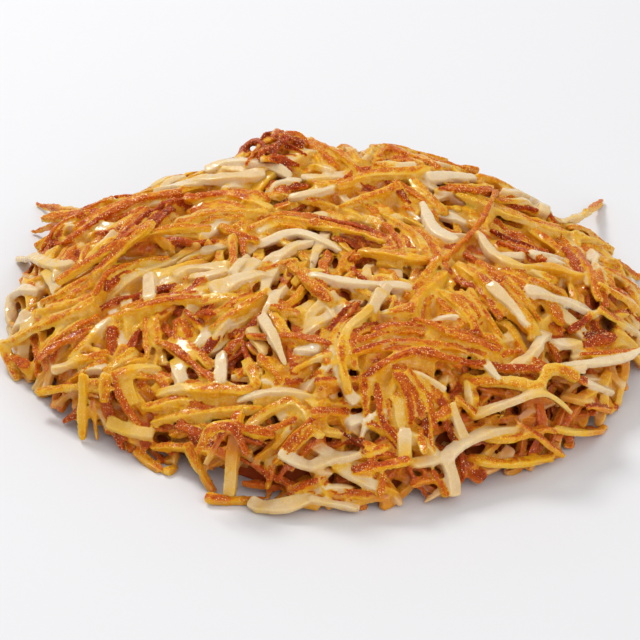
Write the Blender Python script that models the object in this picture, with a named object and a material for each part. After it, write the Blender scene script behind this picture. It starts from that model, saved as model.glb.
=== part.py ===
"""A portion of shredded hash brown: one heap of fried potato strands, fused where they touch."""

import math

import bmesh
import bpy
import numpy as np
from mathutils import Vector

# Driving sizes, in millimetres. +X is to the right, +Y away from the side that is seen, +Z up.
MM = 0.001
REACH = (93, 93, 86, 82, 86, 95, 93, 86, 79, 88, 88, 90)  # from the middle, every 30 degrees from +X
CROWN = 31.0  # height of the heap's broad top
EDGE_POWER, EDGE_FALL = 4.0, 0.6  # how late, and how steeply, the top turns down to the rim
# Rises and dips of the top: middle x, y, then height and radius
SWELLS = (
    (-16, 64, 8, 15),
    (30, 60, 6, 18),
    (0, -28, 4, 30),
    (45, -25, 3, 22),
    (-55, -30, -3, 18),
    (70, 30, -6, 20),
)
SWELL_POWER = 6  # keeps a swell off the rim
STRAND_WIDTH, STRAND_THICKNESS = 3.2, 2.2
SIZE_SPREAD = 0.15  # of a strand's width and thickness
CORE_DEPTH = 5.0  # of strands over the core
CORE_SHARE = 0.9  # of the heap's reach
FLOOR_GAP = 0.3  # under the lowest strands

# Bundles of strands that lie side by side: where the middle strand starts and ends, and how many lie in it.
LEFT_SIDE = (
    ((-58, 58), (-91, 53), 3),
    ((-43, 54), (-82, 38), 3),
    ((-45, 38), (-66, 8), 3),
    ((-28, 13), (-68, -3), 3),
    ((-52, 10), (-87, -10), 3),
    ((-42, -18), (-88, -28), 3),
    ((-74, 18), (-92, 33), 1),
    ((-60, -22), (-82, -42), 3),
    ((-92, -18), (-84, -36), 1),
    ((-56, -44), (-81, -49), 2),
)
CROWN_TOP = (
    ((-44, 66), (-68, 62), 2),
    ((-18, 50), (-52, 52), 2),
    ((-32, 60), (-6, 68), 3),
    ((-42, 25), (-12, 31), 3),
    ((-20, 3), (8, -2), 2),
    ((-36, -22), (-12, -14), 2),
    ((-8, 14), (18, 6), 2),
    ((14, 64), (42, 61), 4),
    ((-6, -20), (20, -24), 1),
    ((-2, 34), (26, 36), 3),
)
RIGHT_SIDE = (
    ((42, 52), (59, 50), 2),
    ((46, 30), (72, 19), 3),
    ((68, 22), (87, 33), 2),
    ((44, 12), (64, 8), 2),
    ((42, 6), (72, -14), 1),
    ((55, -21), (77, -25), 1),
    ((76, 16), (92, -14), 3),
    ((28, 18), (36, 2), 2),
    ((30, -18), (60, -44), 4),
    ((62, -34), (84, -44), 3),
    ((60, -46), (91, -38), 2),
)
FRONT_SIDE = (
    ((-22, -58), (-52, -64), 3),
    ((-42, -64), (-20, -75), 2),
    ((-12, -78), (-38, -80), 2),
    ((12, -86), (-20, -84), 2),
    ((-19, -36), (-10, -58), 1),
    ((0, -48), (7, -72), 2),
    ((8, -50), (48, -54), 4),
    ((16, -56), (20, -80), 2),
    ((24, -58), (31, -84), 2),
    ((36, -60), (66, -58), 2),
    ((34, -87), (54, -70), 1),
    ((40, -70), (66, -62), 1),
    ((50, -72), (64, -76), 2),
    ((-46, -40), (-30, -58), 2),
)
BUNDLES = LEFT_SIDE + CROWN_TOP + RIGHT_SIDE + FRONT_SIDE
STRANDS_BETWEEN = 46  # single strands, laid where the heap is still lowest
FREE_LENGTH = (22.0, 44.0)  # of a single strand
SEED = 7

# How a strand lies
PATH_POINTS = 25  # where its height is worked out
SOLID_POINTS = 4  # where its solid bends
STIFFNESS = 0.35  # 0 follows what is under it, 1 stays straight
MOST_LEAN = 0.6  # slope across a strand
BEND = 0.07  # sideways, of a strand's length
SINK = 0.3  # of its thickness: how far a strand lies into what is under it, as fried strands fuse
TIP = 0.72  # of the width, at a strand's ends

# The grid that holds the height of the heap so far
CELL = 1.0
GRID_HALF = 112


def reach_at(angle):
    """The heap's reach in this direction, on a smooth closed curve through REACH."""
    place = np.mod(angle, 2 * np.pi) * len(REACH) / (2 * np.pi)
    first = np.floor(place).astype(int)
    part = place - first
    before, here, after, beyond = (
        np.take(REACH, first + step, mode="wrap").astype(float) for step in (-1, 0, 1, 2)
    )
    slope = after - before
    turn = 2 * before - 5 * here + 4 * after - beyond
    twist = 3 * (here - after) + beyond - before
    return 0.5 * (2 * here + slope * part + turn * part**2 + twist * part**3)


def heap_height(x, y):
    """The heap's intended height over a point of its floor."""
    share = np.hypot(x, y) / reach_at(np.arctan2(y, x))
    height = CROWN * np.clip(1 - share**EDGE_POWER, 0, None) ** EDGE_FALL
    inside = np.clip(1 - share**SWELL_POWER, 0, 1)
    for middle_x, middle_y, rise, radius in SWELLS:
        away = np.hypot(x - middle_x, y - middle_y) / radius
        height = height + rise * inside * np.exp(-(away**2) / 2)
    return np.where(share < 1, height, 0)


def core_height(x, y):
    """The height of the solid middle that the strands lie on."""
    return np.clip(heap_height(x / CORE_SHARE, y / CORE_SHARE) - CORE_DEPTH, 0, None)


class HeapTop:
    """The height of the heap so far, cell by cell."""

    def __init__(self):
        steps = np.arange(-GRID_HALF, GRID_HALF + CELL, CELL)
        self.x, self.y = np.meshgrid(steps, steps, indexing="ij")
        self.height = core_height(self.x, self.y)
        self.wanted = heap_height(self.x, self.y)

    def cells(self, points):
        places = np.rint((points + GRID_HALF) / CELL).astype(int)
        places = np.clip(places, 0, len(self.height) - 1)
        return places[..., 0], places[..., 1]

    def under(self, points):
        return self.height[self.cells(points)]

    def cover(self, points, heights):
        np.maximum.at(self.height, self.cells(points), heights)

    def lowest_place(self, draw):
        """One of a few random points of the heap: the one that is furthest below its intended height."""
        angle = draw.uniform(0, 2 * np.pi, 24)
        away = np.sqrt(draw.uniform(0, 0.85, 24)) * reach_at(angle)
        points = np.stack([away * np.cos(angle), away * np.sin(angle)], axis=-1)
        missing = self.wanted[self.cells(points)] - self.under(points)
        return points[np.argmax(missing)]


def bowed_path(start, end, bend):
    """Points from start to end along a shallow bow to one side."""
    along = np.linspace(0, 1, PATH_POINTS)[:, None]
    run = end - start
    side = np.array([-run[1], run[0]])
    return start + run * along + side * (bend * 4 * along * (1 - along))


def taut_over(along, heights):
    """A string pulled tight over these heights, and the straight line that its middle stretch lies on."""
    hull = []
    for point in zip(along, heights):
        while len(hull) > 1:
            (x0, y0), (x1, y1) = hull[-2:]
            if (y1 - y0) * (point[0] - x0) > (point[1] - y0) * (x1 - x0):
                break
            hull.pop()
        hull.append(point)
    corners = np.array(hull)
    string = np.interp(along, corners[:, 0], corners[:, 1])
    last = max(1, np.searchsorted(corners[:, 0], along[-1] / 2))
    (x0, y0), (x1, y1) = corners[last - 1 : last + 1]
    line = y0 + (along - x0) * (y1 - y0) / (x1 - x0)
    return string, line


def lay_strand(top, path, width, thickness):
    """Lays a strand on the heap. Returns its middle line and the slope across it, point by point."""
    run = np.gradient(path, axis=0)
    run /= np.linalg.norm(run, axis=1, keepdims=True)
    side = np.stack([-run[:, 1], run[:, 0]], axis=-1)
    left = top.under(path + side * width / 3)
    right = top.under(path - side * width / 3)
    support = np.maximum(top.under(path), (left + right) / 2)
    along = np.concatenate([[0], np.cumsum(np.linalg.norm(np.diff(path, axis=0), axis=1))])
    string, line = taut_over(along, support)
    height = string + STIFFNESS * (line - string)
    lean = np.clip((left - right) / (width * 2 / 3), -MOST_LEAN, MOST_LEAN)
    for _ in range(3):
        height[1:-1] = (height[:-2] + 2 * height[1:-1] + height[2:]) / 4
        lean[1:-1] = (lean[:-2] + 2 * lean[1:-1] + lean[2:]) / 4
    edge_drop = np.abs(lean) * width / 2
    bottom = np.maximum(height - SINK * thickness, FLOOR_GAP + edge_drop)
    for share in np.linspace(-0.5, 0.5, 7):
        top.cover(path + side * width * share, bottom + thickness + lean * width * share)
    middle = np.column_stack([path, bottom + thickness / 2])
    return middle, lean


def bundle_paths(start, end, count, draw):
    """The paths of a bundle's strands, side by side and a little uneven."""
    start, end = np.array(start, float), np.array(end, float)
    run = end - start
    side = np.array([-run[1], run[0]]) / np.linalg.norm(run)
    shared_bend = draw.normal(0, BEND)
    for place in np.arange(count) - (count - 1) / 2:
        shift = side * place * STRAND_WIDTH * 1.05
        fan = 1 + 0.25 * draw.random()
        slip = run * draw.uniform(-0.06, 0.06)
        bend = shared_bend + draw.normal(0, BEND / 3)
        yield bowed_path(start + shift + slip, end + shift * fan + slip, bend)


def single_path(top, draw):
    """A strand where the heap is lowest, running roughly away from the crown."""
    middle = top.lowest_place(draw)
    heading = math.atan2(middle[1], middle[0]) + draw.normal(0, 0.6)
    half = np.array([math.cos(heading), math.sin(heading)]) * draw.uniform(*FREE_LENGTH) / 2
    tip = middle + half
    past_rim = np.hypot(*tip) - reach_at(math.atan2(tip[1], tip[0]))
    middle = middle - max(0, past_rim) * tip / np.hypot(*tip)
    return bowed_path(middle - half, middle + half, draw.normal(0, BEND))


def new_section(width, thickness):
    """The outline that a strand has across its length."""
    curve = bpy.data.curves.new("strand_section", "CURVE")
    corners = curve.splines.new("POLY")
    corners.points.add(3)
    corners.use_cyclic_u = True
    for point, (across, up) in zip(corners.points, ((1, 1), (-1, 1), (-1, -1), (1, -1))):
        point.co = (across * width * MM / 2, up * thickness * MM / 2, 0, 1)
    section = bpy.data.objects.new("strand_section", curve)
    section.hide_render = True
    bpy.context.scene.collection.objects.link(section)
    return section


def new_strand(name, middle, lean, section):
    """A strand's curve, swept with its section."""
    curve = bpy.data.curves.new(name, "CURVE")
    curve.dimensions = "3D"
    curve.twist_mode = "Z_UP"
    curve.bevel_mode = "OBJECT"
    curve.bevel_object = section
    curve.use_fill_caps = True
    line = curve.splines.new("POLY")
    picked = np.rint(np.linspace(0, PATH_POINTS - 1, SOLID_POINTS)).astype(int)
    line.points.add(SOLID_POINTS - 1)
    for point, place in zip(line.points, picked):
        point.co = (*(middle[place] * MM), 1)
        point.tilt = math.atan(lean[place])
        point.radius = TIP if place in (0, PATH_POINTS - 1) else 1
    return bpy.data.objects.new(name, curve)


def as_mesh(curve_object, collection):
    """The same strand as a closed mesh, which a Boolean can join."""
    bpy.context.scene.collection.objects.link(curve_object)
    graph = bpy.context.evaluated_depsgraph_get()
    mesh = bpy.data.meshes.new_from_object(curve_object.evaluated_get(graph))
    name = curve_object.name
    bpy.data.objects.remove(curve_object)
    work = bmesh.new()
    work.from_mesh(mesh)
    bmesh.ops.remove_doubles(work, verts=work.verts, dist=0.01 * MM)
    bmesh.ops.recalc_face_normals(work, faces=work.faces)
    work.to_mesh(mesh)
    work.free()
    strand = bpy.data.objects.new(name, mesh)
    collection.objects.link(strand)
    return strand


def new_core(collection):
    """The solid middle: half a ball, spread to the heap's outline and flat underneath."""
    work = bmesh.new()
    bmesh.ops.create_uvsphere(work, u_segments=36, v_segments=20, radius=1)
    below = [v for v in work.verts if v.co.z < -1e-4]
    bmesh.ops.delete(work, geom=below, context="VERTS")
    rim = [e for e in work.edges if e.is_boundary]
    bmesh.ops.contextual_create(work, geom=rim)
    for vert in work.verts:
        angle = math.atan2(vert.co.y, vert.co.x)
        away = math.hypot(vert.co.x, vert.co.y)
        place = away * reach_at(angle) * CORE_SHARE * 0.98
        x, y = place * math.cos(angle), place * math.sin(angle)
        on_rim = vert.co.z < 1e-4
        vert.co = Vector((x, y, 0 if on_rim else max(1.0, float(core_height(x, y))))) * MM
    bmesh.ops.recalc_face_normals(work, faces=work.faces)
    mesh = bpy.data.meshes.new("hash_brown")
    work.to_mesh(mesh)
    work.free()
    core = bpy.data.objects.new("hash_brown", mesh)
    collection.objects.link(core)
    return core


def fuse(core, strands):
    """Joins the strands to the core in one union, and removes them."""
    union = core.modifiers.new("fuse", "BOOLEAN")
    union.operation = "UNION"
    union.operand_type = "COLLECTION"
    union.collection = strands
    union.solver = "MANIFOLD"
    graph = bpy.context.evaluated_depsgraph_get()
    fused = bpy.data.meshes.new_from_object(core.evaluated_get(graph))
    core.modifiers.clear()
    core.data = fused
    for strand in list(strands.objects):
        bpy.data.objects.remove(strand)
    bpy.data.collections.remove(strands)


def keep_outer_surface(solid):
    """Drops the shells of sealed hollows, which fills them, and any loose scrap."""
    work = bmesh.new()
    work.from_mesh(solid.data)
    bmesh.ops.triangulate(work, faces=work.faces)
    waiting, shells = set(work.faces), []
    while waiting:
        shell, edge = set(), {waiting.pop()}
        while edge:
            shell |= edge
            near = {f for face in edge for e in face.edges for f in e.link_faces}
            edge = near - shell
        waiting -= shell
        shells.append(shell)
    for shell in sorted(shells, key=len)[:-1]:
        bmesh.ops.delete(work, geom=list(shell), context="FACES")
    work.to_mesh(solid.data)
    work.free()
    print("shells dropped:", len(shells) - 1)


def potato_finish():
    """Fried potato: golden, a little glossy with oil."""
    finish = bpy.data.materials.new("fried_potato")
    finish.use_nodes = True
    shader = finish.node_tree.nodes["Principled BSDF"]
    shader.inputs["Base Color"].default_value = (0.72, 0.36, 0.07, 1)
    shader.inputs["Roughness"].default_value = 0.4
    shader.inputs["Metallic"].default_value = 0
    return finish


def main():
    for old in list(bpy.data.objects):
        bpy.data.objects.remove(old)
    food = bpy.data.collections.new("hash_brown")
    strands = bpy.data.collections.new("strands")
    bpy.context.scene.collection.children.link(food)
    bpy.context.scene.collection.children.link(strands)
    draw = np.random.default_rng(SEED)
    top = HeapTop()
    sections = [
        (size, new_section(STRAND_WIDTH * size, STRAND_THICKNESS * size))
        for size in (1 - SIZE_SPREAD, 1, 1 + SIZE_SPREAD)
    ]

    def add(path):
        size, section = sections[draw.integers(len(sections))]
        middle, lean = lay_strand(top, path, STRAND_WIDTH * size, STRAND_THICKNESS * size)
        name = f"strand_{len(strands.objects):03d}"
        as_mesh(new_strand(name, middle, lean, section), strands)

    for start, end, count in BUNDLES:
        for path in bundle_paths(start, end, count, draw):
            add(path)
    for _ in range(STRANDS_BETWEEN):
        add(single_path(top, draw))
    print("strands:", len(strands.objects))
    core = new_core(food)
    fuse(core, strands)
    keep_outer_surface(core)
    for _, section in sections:
        bpy.data.objects.remove(section)
    core.data.materials.clear()
    core.data.materials.append(potato_finish())
    core.data.shade_flat()
    print("triangles:", len(core.data.polygons))


main()
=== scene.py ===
# %% [markdown]
# # Hash browns, one strand at a time
# A portion of hash browns is a heap of shredded potato, fried until the outside strands turn crisp and
# brown while those further in stay soft and pale. A smooth lump with a picture of strands on it looks wrong
# as soon as light falls on it from the side, because each strand shades the next one. So every strand is
# modelled here, at its true size, and laid on the heap in turn, as it would fall.

# %% Load the frame
import math
from collections import namedtuple
import bpy
import numpy as np
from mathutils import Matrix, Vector
from mathutils.bvhtree import BVHTree


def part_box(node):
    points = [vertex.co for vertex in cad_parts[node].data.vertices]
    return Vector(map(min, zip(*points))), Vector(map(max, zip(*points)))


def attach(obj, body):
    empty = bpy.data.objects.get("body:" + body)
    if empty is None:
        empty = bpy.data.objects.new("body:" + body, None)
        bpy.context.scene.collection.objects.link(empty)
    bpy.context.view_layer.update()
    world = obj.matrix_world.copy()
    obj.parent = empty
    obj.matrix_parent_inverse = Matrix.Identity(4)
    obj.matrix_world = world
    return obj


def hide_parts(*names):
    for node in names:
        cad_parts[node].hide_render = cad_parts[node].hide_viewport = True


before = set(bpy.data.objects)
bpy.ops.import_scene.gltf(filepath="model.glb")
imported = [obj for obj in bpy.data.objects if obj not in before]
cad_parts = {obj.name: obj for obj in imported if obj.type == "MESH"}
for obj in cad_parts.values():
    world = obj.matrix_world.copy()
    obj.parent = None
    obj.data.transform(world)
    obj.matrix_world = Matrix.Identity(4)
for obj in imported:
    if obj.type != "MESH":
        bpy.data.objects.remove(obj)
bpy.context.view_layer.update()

NODE, SLOT = "hash_brown", "fried_potato"
low_corner, high_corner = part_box(NODE)
MM = 0.001
print("the solid is", [round(side / MM, 1) for side in high_corner - low_corner], "mm")

# %% [markdown]
# ## The shape of the heap
# The strands need something to aim for: a surface that says how high the heap is over each point.
# It could be sculpted, but a few numbers are easier to change: how far the heap reaches every 30 degrees,
# how high its top is, and where it swells or dips. Lengths are in millimetres, and +Y points away from us.

# %% Sizes of the heap
REACH = (93, 93, 86, 82, 86, 95, 93, 86, 79, 88, 88, 90)
CROWN = 31.0
EDGE_POWER, EDGE_FALL = 4.0, 0.6
SWELLS = (
    # place across and away, rise and radius
    (-16, 64, 8, 15),
    (30, 60, 6, 18),
    (0, -28, 4, 30),
    (45, -25, 3, 22),
    (-55, -30, -3, 18),
    (70, 30, -6, 20),
)
SWELL_POWER = 6
CORE_DEPTH = 6.5
CORE_SHARE = 0.90
CORE_DIP = 0.7
CENTRE_OF_FLOW = np.array([0.0, 36.0])


def on_curve(before, here, after, beyond, part):
    """A place part of the way from here to after, on a smooth curve through all four."""
    turn = 2 * before - 5 * here + 4 * after - beyond
    twist = 3 * (here - after) + beyond - before
    return 0.5 * (2 * here + (after - before) * part + turn * part**2 + twist * part**3)


def reach_at(angle):
    """The heap's reach in this direction, on a smooth closed curve through REACH."""
    place = np.mod(angle, 2 * np.pi) * len(REACH) / (2 * np.pi)
    first = np.floor(place).astype(int)
    corners = (np.take(REACH, first + step, mode="wrap").astype(float) for step in (-1, 0, 1, 2))
    return on_curve(*corners, place - first)


def rim_share(x, y):
    """How far out a point of the plan lies, next to the rim in its direction."""
    return np.hypot(x, y) / reach_at(np.arctan2(y, x))


def past_rim(x, y, share=1):
    """How far a point of the plan lies outside the rim, or outside a share of its reach."""
    return np.hypot(x, y) - share * reach_at(np.arctan2(y, x))


def heap_height(x, y):
    """The height that the finished heap should have over a point."""
    share = rim_share(x, y)
    height = CROWN * np.clip(1 - share**EDGE_POWER, 0, None) ** EDGE_FALL
    inside = np.clip(1 - share**SWELL_POWER, 0, 1)
    for middle_x, middle_y, rise, radius in SWELLS:
        away = np.hypot(x - middle_x, y - middle_y) / radius
        height = height + rise * inside * np.exp(-(away**2) / 2)
    return np.where(share < 1, height, 0)


print("the heap is", round(float(heap_height(0.0, 0.0)), 1), "mm high in the middle")

# %% [markdown]
# ## The camera
# It comes early, because the strands that the photograph shows best are placed by where they lie in it.
# The photograph looks down on the heap at about 32 degrees from a metre or so away, with a long lens.
# A line of sight through a pixel meets each height above the floor at one point, which turns a place in the
# picture into a place on the heap.

# %% Camera
PICTURE = 640
LOOK_DOWN = math.radians(31.9)
LENS_PIXELS = 4283.0
DISTANCE = 1223.0
ORIGIN_PIXEL = (328, 342)
PIXEL = DISTANCE / LENS_PIXELS
ahead = np.array([0, math.cos(LOOK_DOWN), -math.sin(LOOK_DOWN)])
right = np.array([1.0, 0, 0])
upward = np.array([0, math.sin(LOOK_DOWN), math.cos(LOOK_DOWN)])
aim = PIXEL * ((PICTURE / 2 - ORIGIN_PIXEL[0]) * right + (ORIGIN_PIXEL[1] - PICTURE / 2) * upward)
eye = aim - DISTANCE * ahead

camera_data = bpy.data.cameras.new("camera")
camera_data.sensor_width = 36
camera_data.lens = camera_data.sensor_width * LENS_PIXELS / PICTURE
camera_data.clip_end = 10


def new_object(name, data):
    made = bpy.data.objects.new(name, data)
    bpy.context.scene.collection.objects.link(made)
    return made


def pointed(made, place, direction):
    """Puts a camera or a lamp at a place, looking this way."""
    made.location = place
    made.rotation_euler = Vector(direction).to_track_quat("-Z", "Y").to_euler()
    return made


bpy.context.scene.camera = pointed(new_object("camera", camera_data), eye * MM, ahead)


def seen_at(pixels, heights):
    """The plan points that these pixels show at these heights."""
    pixels = np.asarray(pixels, float)
    offset = (pixels - PICTURE / 2) / LENS_PIXELS
    sight = ahead + offset[:, :1] * right - offset[:, 1:] * upward
    reach = (heights - eye[2]) / sight[:, 2]
    return (eye + reach[:, None] * sight)[:, :2]


SIGHT_STEPS = np.linspace(46, 1.5, 180)
RIM_SLOPE = 0.5


def first_height(pixel):
    """The height where a line of sight meets the wanted surface, or passes nearest to it."""
    points = seen_at(np.repeat([pixel], len(SIGHT_STEPS), axis=0), SIGHT_STEPS)
    clearance = SIGHT_STEPS - heap_height(*points.T) + RIM_SLOPE * np.clip(past_rim(*points.T), 0, None)
    met = np.flatnonzero(clearance <= 0)
    return SIGHT_STEPS[met[0] if len(met) else np.argmin(clearance)]


print("the lens is", round(camera_data.lens), "mm")

# %% [markdown]
# ## Hollows
# A tangle of strands never fills its own outline. Where the photograph shows a dark hollow, the strands
# underneath stop lower, and the solid middle sinks with them, so that the hollow is as deep as it looks.

# %% Hollows and the solid middle
HOLLOWS = (
    # pixel of the middle, radius and depth in millimetres
    ((165, 327), 7, 5), ((232, 343), 9, 5), ((196, 345), 8, 4), ((120, 345), 6, 3), ((455, 212), 6, 4),
    ((535, 240), 8, 4), ((300, 330), 7, 4), ((480, 440), 9, 4), ((205, 405), 8, 4), ((365, 400), 6, 4),
    ((560, 345), 7, 4), ((350, 450), 7, 4), ((150, 395), 7, 3),
)
hollow_places = [seen_at([pixel], [first_height(pixel)])[0] for pixel, _, _ in HOLLOWS]


def hollow_depth(points):
    """How far the heap sinks below its smooth shape at these points."""
    depth = 0
    for place, (_, radius, most) in zip(hollow_places, HOLLOWS):
        depth = depth + most * np.exp(-(((points - place) ** 2).sum(axis=-1)) / radius**2)
    return depth


def core_height(x, y):
    """The height of the solid middle, below every gap between the strands."""
    sunk = CORE_DEPTH + CORE_DIP * hollow_depth(np.stack([x, y], axis=-1))
    return np.clip(heap_height(x / CORE_SHARE, y / CORE_SHARE) - sunk, 0, None)


print(len(HOLLOWS), "hollows")

# %% [markdown]
# ## Laying a strand
# Real strands fall until they touch what is under them, bend a little, and bridge the hollows. A physics
# simulation of a thousand soft strands would be slow and hard to steer. This does the same job on a map:
# a grid holds the height of the heap so far, a strand is a string pulled tight over the map along its path,
# stiffened towards a straight line, and once it lies there, its top is added to the map for the next one.

# %% The map of heights
CELL = 0.8
MAP_HALF = 112
STEP_ALONG = 1.15
MOST_RISE = 5.0
TIP_RISE, TIP_STIFFNESS = 14.0, 0.9
MOST_LEAN = 0.6
HEIGHT_EASING, LEAN_EASING = 6, 14
FLOOR_GAP = 0.3
FREE_TIPS_FROM = 0.94
LAID_WITHIN = 0.95


class HeapTop:
    """The height of the heap so far, cell by cell."""

    def __init__(self):
        steps = np.arange(-MAP_HALF, MAP_HALF + CELL, CELL)
        self.x, self.y = np.meshgrid(steps, steps, indexing="ij")
        self.height = core_height(self.x, self.y)
        self.wanted = heap_height(self.x, self.y)

    def cells(self, points):
        places = np.clip(np.rint((points + MAP_HALF) / CELL).astype(int), 0, len(self.height) - 1)
        return places[..., 0], places[..., 1]

    def under(self, points):
        return self.height[self.cells(points)]

    def cover(self, points, heights):
        np.maximum.at(self.height, self.cells(points), heights)

    def lowest_place(self, draw, tries):
        """The one of some random points that is furthest below the height wanted there."""
        angle = draw.uniform(0, 2 * np.pi, tries)
        away = np.sqrt(draw.uniform(0, LAID_WITHIN, tries)) * reach_at(angle)
        points = np.stack([away * np.cos(angle), away * np.sin(angle)], axis=-1)
        missing = self.wanted[self.cells(points)] - self.under(points)
        return points[np.argmax(missing)]


heap_top = HeapTop()
print("the map has", heap_top.height.size, "cells")


# %% Pull a strand tight over the map
def taut_over(along, heights):
    """A string pulled tight over these heights, and the line that its middle stretch lies on."""
    hull = []
    for point in zip(along, heights):
        while len(hull) > 1:
            (x0, y0), (x1, y1) = hull[-2:]
            if (y1 - y0) * (point[0] - x0) > (point[1] - y0) * (x1 - x0):
                break
            hull.pop()
        hull.append(point)
    corners = np.array(hull)
    string = np.interp(along, corners[:, 0], corners[:, 1])
    last = max(1, np.searchsorted(corners[:, 0], along[-1] / 2))
    (x0, y0), (x1, y1) = corners[last - 1 : last + 1]
    return string, y0 + (along - x0) * (y1 - y0) / (x1 - x0)


def eased(values, times):
    """The same values with their inner ones averaged with their neighbours."""
    values = values.copy()
    for _ in range(times):
        values[1:-1] = (values[:-2] + 2 * values[1:-1] + values[2:]) / 4
    return values


def distance_along(path):
    return np.concatenate([[0], np.cumsum(np.linalg.norm(np.diff(path, axis=0), axis=1))])


def unit(vectors):
    return vectors / np.maximum(np.linalg.norm(vectors, axis=-1, keepdims=True), 1e-6)


def side_of(path):
    """The level direction across a path, point by point."""
    run = unit(np.gradient(path[:, :2], axis=0))
    return np.stack([-run[:, 1], run[:, 0]], axis=-1)


def rest_on_heap(path, shape, sink, free_tips=False):
    """The height of a strand's middle line along this path, and the slope across it.
    Free tips stand out level past the rim, as crisp ones do, instead of hanging down."""
    side, width = side_of(path), shape.width
    on_left, on_right = (heap_top.under(path + way * side * width / 3) for way in (1, -1))
    support = np.maximum(heap_top.under(path), (on_left + on_right) / 2)
    string, line = taut_over(distance_along(path), support)
    rise = np.minimum(shape.stiffness * (line - string), MOST_RISE)
    if free_tips:
        tip_rise = np.minimum(TIP_STIFFNESS * (line - string), TIP_RISE)
        rise = np.where(past_rim(*path.T, FREE_TIPS_FROM) > 0, tip_rise, rise)
    height = eased(string + rise, HEIGHT_EASING)
    lean = eased(np.clip((on_left - on_right) / (width * 2 / 3), -MOST_LEAN, MOST_LEAN), LEAN_EASING)
    bottom = np.maximum(height - sink * shape.thickness, FLOOR_GAP + np.abs(lean) * width / 2)
    return bottom + shape.thickness / 2, lean


def add_to_map(path, height, lean, shape):
    side = side_of(path)
    for share in np.linspace(-0.5, 0.5, 9):
        across = shape.width * share
        heap_top.cover(path + side * shape.width * share, height + shape.thickness / 2 + lean * across)


# %% [markdown]
# ## Kinds of strand
# Six kinds are enough: pale strands that only steamed, a few broad slices, golden strands, crisp ones that
# lay on the hot griddle, a few dark and shrivelled ones, and one browned thread. Frying drives water out,
# so the darker a strand is, the thinner and rougher it is too. A kind is a row of numbers, which is easier
# to compare and to change than a way of building for each.

# %% The kinds
Kind = namedtuple("Kind", "width thickness fry crust wrap ragged hollow foot stiffness")
KINDS = {
    "pale": Kind(3.3, 1.8, 0.10, 0.05, 0.0, 0.06, 0.06, 0.15, 0.12),
    "broad": Kind(5.6, 1.7, 0.10, 0.10, 0.0, 0.08, 0.10, 0.1, 0.12),
    "gold": Kind(2.7, 1.6, 0.29, 0.58, -0.05, 0.10, 0.12, 0.4, 0.30),
    "crisp": Kind(2.4, 1.5, 0.35, 0.85, 0.1, 0.18, 0.16, 0.35, 0.50),
    "dark": Kind(2.4, 1.5, 0.54, 1.00, 0.6, 0.20, 0.20, 0.25, 0.60),
    "thin": Kind(1.5, 1.5, 0.50, 1.00, 0.4, 0.15, 0.10, 0.2, 0.40),
}
SIZE_SPREAD = 0.20
SLIVER_SHARE, SLIVER_WIDTH = 0.08, 0.6
USUAL_SINK = 0.4
strands = {kind: [] for kind in KINDS}


def smooth_curve(points, step=STEP_ALONG):
    """Points a step apart on a smooth curve through these ones."""
    points = np.asarray(points, float)
    padded = np.vstack([2 * points[0] - points[1], points, 2 * points[-1] - points[-2]])
    part = np.linspace(0, 1, 24, endpoint=False)[:, None]
    pieces = [on_curve(*corners, part) for corners in zip(padded, padded[1:], padded[2:], padded[3:])]
    dense = np.vstack(pieces + [points[-1:]])
    along = distance_along(dense)
    places = np.linspace(0, along[-1], max(8, round(along[-1] / step)))
    return np.stack([np.interp(places, along, dense[:, axis]) for axis in range(dense.shape[1])], axis=-1)


def lay(kind, path, draw, sink=USUAL_SINK, free_tips=False):
    """Lays one strand of a kind along a plan path, and keeps it."""
    usual = KINDS[kind]
    width = usual.width * (1 + SIZE_SPREAD * draw.uniform(-1, 1))
    width *= SLIVER_WIDTH if draw.random() < SLIVER_SHARE else 1
    thickness = usual.thickness * (1 + SIZE_SPREAD * draw.uniform(-1, 1))
    shape = usual._replace(width=width, thickness=thickness)
    height, lean = rest_on_heap(path, shape, sink, free_tips)
    add_to_map(path, height, lean, shape)
    strands[kind].append((np.column_stack([path, height]), lean, shape))


# %% [markdown]
# ## The strands underneath
# Most of the heap is never seen, but what shows between the top strands must be more strands, not a wall.
# These are laid where the heap is still lowest. They point roughly away from the crown, as the strands in
# the photograph do, and neighbours share a heading, because shreds come off the grater side by side.

# %% Fill the heap
SEED = 11
draw = np.random.default_rng(SEED)
UNDER_PALE = 0.26
UNDER_KINDS = (("gold", 0.42), ("crisp", 0.80), ("dark", 1.10))
UNDER_LENGTH = (10, 36)
UNDER_TRIES, PLACE_TRIES = 7500, 6
ROOM_ON_TOP, MOST_PROUD = 2.2, 2.5
LOWEST_TOP = 3.5
BACK_FLATTENING = 0.35
HEADING_SPREAD, HEADING_SWIRL = 0.5, 0.5
ALONG_RIM_SHARE, ALONG_RIM_FROM, ALONG_RIM_OVER = 0.85, 0.55, 0.25
UNDER_WITHIN = 0.97
BOW, HOOK = 0.09, 0.04
# Browner kinds towards the front are partly the strands' own browning and partly painted shade; browner
# kinds in the hollows are painted shade.
FRONT_BROWNING_AND_SHADE, FRONT_DISTANCE = 0.20, 60
BROWNER_SWIRL, PAINTED_HOLLOW_SHADE = 0.22, 0.1
SWIRL_WAVES = ((0.071, 0.043, 0.4), (-0.052, 0.083, 2.1), (0.031, -0.097, 4.0))


def shared_swirl(point):
    """A slow turn of heading that neighbouring strands have in common."""
    waves = (math.sin(x * point[0] + y * point[1] + start) for x, y, start in SWIRL_WAVES)
    return sum(waves) / len(SWIRL_WAVES)


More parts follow.
